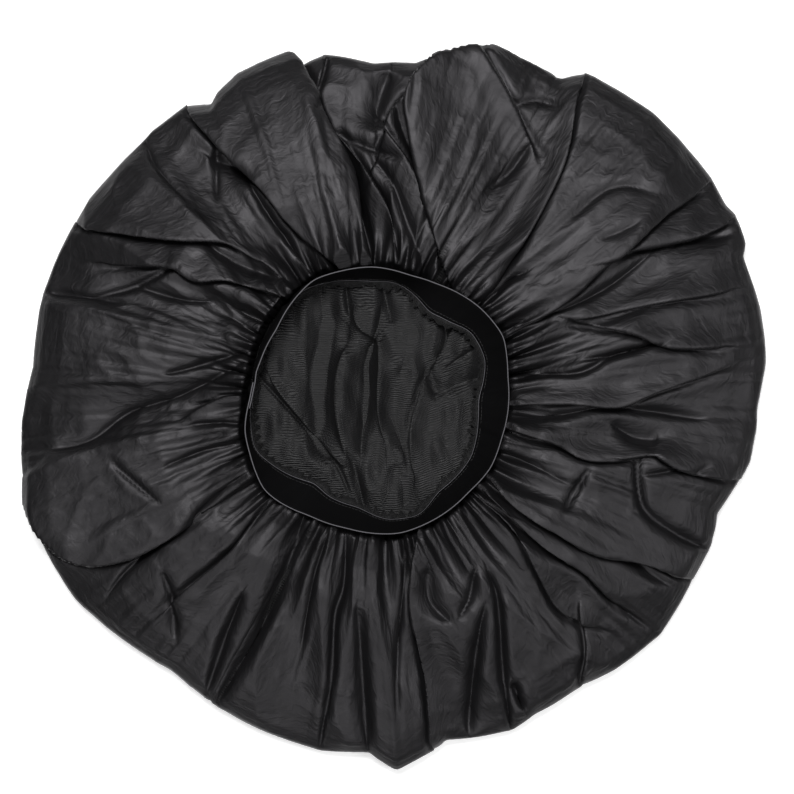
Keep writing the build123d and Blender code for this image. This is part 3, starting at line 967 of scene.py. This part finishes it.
def build_lining():
    """The loose lining: its side goes from the hem under the shell to the rim, its face lies below."""
    rng = np.random.default_rng(21)
    look = ribbed()
    angle = np.arange(0, 360, 0.5)
    rim = outline_from_mouth(angle)
    sewn, low, free, top = elastic_edges(angle)
    reach = rim - sewn
    flat = np.ones(len(angle))
    side = [(sewn - 0.8, low - 1.5), (sewn + 6, low - 4)]
    side += [(sewn + t * reach, np.minimum(z, low + 60 * t) * flat) for t, z in LINING_CREST[1:-1]]
    rim_turn = (sewn + 0.87 * reach, 5.0 * flat)
    side += [(sewn + 0.89 * reach, 7.5 * flat), rim_turn]
    radius, height, long = even_rows(*(np.stack(s) for s in zip(*side)), np.linspace(0, 1, 50))
    points = around_mouth(np.broadcast_to(angle, radius.shape), radius, height)
    obj = grid_object("lining_side_cloth", points)
    mark_cloth(obj, points[..., :2])
    finish_piece(obj, look, "lining_knit", "lining_side")
    face = [rim_turn, (sewn + 0.50 * reach, 4.5 * flat), (sewn + 0.12 * reach, 6 * flat)]
    face += [(0.95 * sewn, 11 * flat)]
    face += [(0.78 * sewn, 15 * flat), (0.40 * sewn, 16 * flat), (0.004 * sewn, 16 * flat)]
    shares = np.concatenate([np.linspace(0, 0.58, 24)[:-1], np.linspace(0.58, 1, 90)])
    radius, height, long = even_rows(*(np.stack(s) for s in zip(*face)), shares)
    points = around_mouth(np.broadcast_to(angle, radius.shape), radius, height)
    held = np.clip((sewn + 10 - radius) / 12, 0, 1)
    folds = [(LINING_DEPTH * deep, wide, path) for deep, wide, path in LINING_FOLDS]
    points = add_folds(points, [], folds, held)
    wrinkle(points, held, rng, ((1.6, 7), (0.9, 9)))
    points[..., 2] = np.maximum(points[..., 2], 4.0)
    obj = grid_object("lining_face_cloth", points)
    x, y, z = np.moveaxis(points, -1, 0)
    mark_cloth(obj, np.stack([x, y - 0.35 * np.maximum(x - 20, 0) + 0.5 * z], -1))
    finish_piece(obj, look, "lining_knit", "lining_face")


def build_face(look):
    """The panel that the cover lies on, with soft ripples."""
    rng = np.random.default_rng(5)
    angle = np.arange(0, 360, 0.5)
    seam = rim_seam_radius(angle)
    radius = np.concatenate([np.linspace(0.002, 0.93, 60), np.linspace(0.94, 1.0, 10)])[:, None] * seam
    points = around_mouth(np.broadcast_to(angle, radius.shape), radius, np.full(radius.shape, 1.2))
    ripple = np.zeros(radius.shape)
    for _ in range(11):
        turn, wave = rng.uniform(0, 2 * pi), rng.uniform(45, 140)
        way = points[..., 0] * np.cos(turn) + points[..., 1] * np.sin(turn)
        ripple += 0.17 * np.cos(way * 2 * pi / wave + rng.uniform(0, 2 * pi))
    fade = np.clip((seam - radius) / 15, 0, 1)
    points[..., 2] += np.clip(ripple, -0.5, 1.0) * fade
    points[..., 2] += 0.3 * np.clip(1 - (seam - radius) / 3, 0, 1)
    obj = grid_object("face_panel_cloth", points)
    mark_cloth(obj, points[..., :2])
    finish_piece(obj, look, "shell_cloth", "face_panel")


# ---- stage --------------------------------------------------------------------------------------
def build_stage():
    """Camera, floor, three lamps and the world's light."""
    scene = bpy.context.scene
    scene.view_settings.view_transform = "Standard"
    camera = bpy.data.objects.new("camera", bpy.data.cameras.new("camera"))
    bpy.context.collection.objects.link(camera)
    camera.location = (0.0024, 0.0114, 2.0)
    camera.data.lens = 94.3
    scene.camera = camera
    bpy.ops.mesh.primitive_plane_add(size=40)
    floor = bpy.context.object
    floor.name = "floor"
    floor.data.materials.append(paper())
    floor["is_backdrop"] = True
    for name, place, size, power in (
        ("key", (-0.12, 0.72, 2.10), 0.6, 36),
        ("low", (-0.4, -1.2, 1.8), 0.6, 11),
        ("fill", (1.3, -0.2, 1.8), 0.7, 10),
    ):
        lamp = bpy.data.objects.new(name, bpy.data.lights.new(name, "AREA"))
        lamp.data.energy = power
        lamp.data.size = size
        lamp.location = place
        lamp.rotation_euler = (-Vector(place)).to_track_quat("-Z", "Y").to_euler()
        bpy.context.collection.objects.link(lamp)
    world = bpy.data.worlds.new("world")
    world.use_nodes = True
    scene.world = world
    back = world.node_tree.nodes["Background"]
    back.inputs[0].default_value = (1, 1, 1, 1)
    back.inputs[1].default_value = 0.03


build_stage()
thread_look = thread("black_thread", 0.003, 0.008)
edge_look = knitted("allowance_cloth", 0.002, 0.005)
shell, satin_look = build_shell()
build_hem(thread_look)
build_hem_allowance(thread_look, edge_look)
build_inner_seams(shell, thread_look, edge_look)
build_lining()
build_face(satin_look)
sizes = {"cad": cad_box, "visual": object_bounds()}
sizes = {name: [[float(v) for v in corner] for corner in box] for name, box in sizes.items()}
